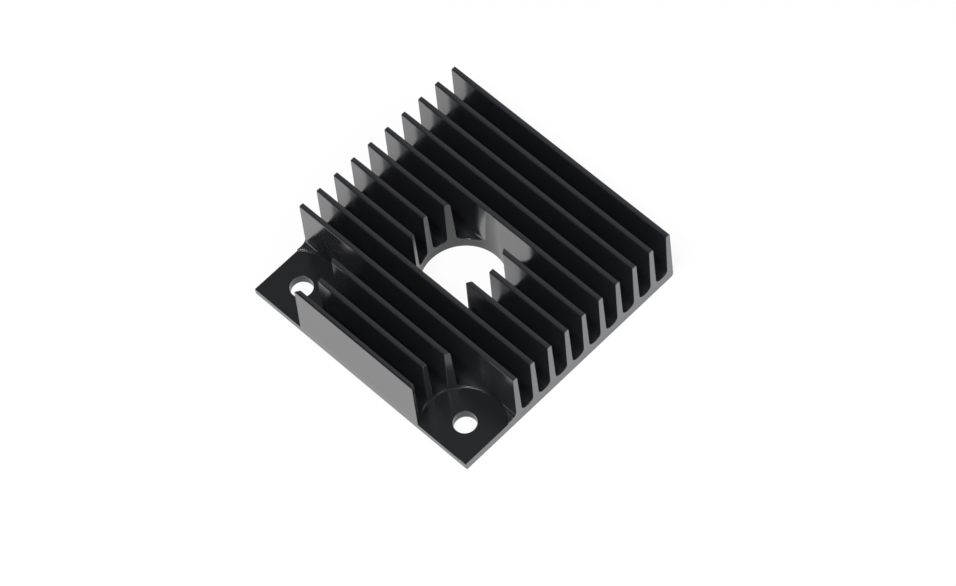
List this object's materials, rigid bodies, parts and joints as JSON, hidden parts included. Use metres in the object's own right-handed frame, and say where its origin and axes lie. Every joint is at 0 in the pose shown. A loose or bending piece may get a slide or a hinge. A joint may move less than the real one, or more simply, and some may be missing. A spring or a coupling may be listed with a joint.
{
  "type": "extruder heat sink",
  "caption": "Square finned aluminium heat sink with a central bore and screw holes in milled corner pockets, for cooling a filament extruder.",
  "frame": {"origin": "centre of the mounting face under the plate, on the bore's axis", "axes": "+Z from the mounting face up to the fin tips, Y along the fins, -X towards the side with the screw holes"},
  "size_m": [0.04, 0.04, 0.011],
  "materials": {
    "black_anodised_aluminium": "black anodised, satin"
  },
  "bodies": {
    "root": {"heat_sink": "black_anodised_aluminium"}
  },
  "joints": []
}
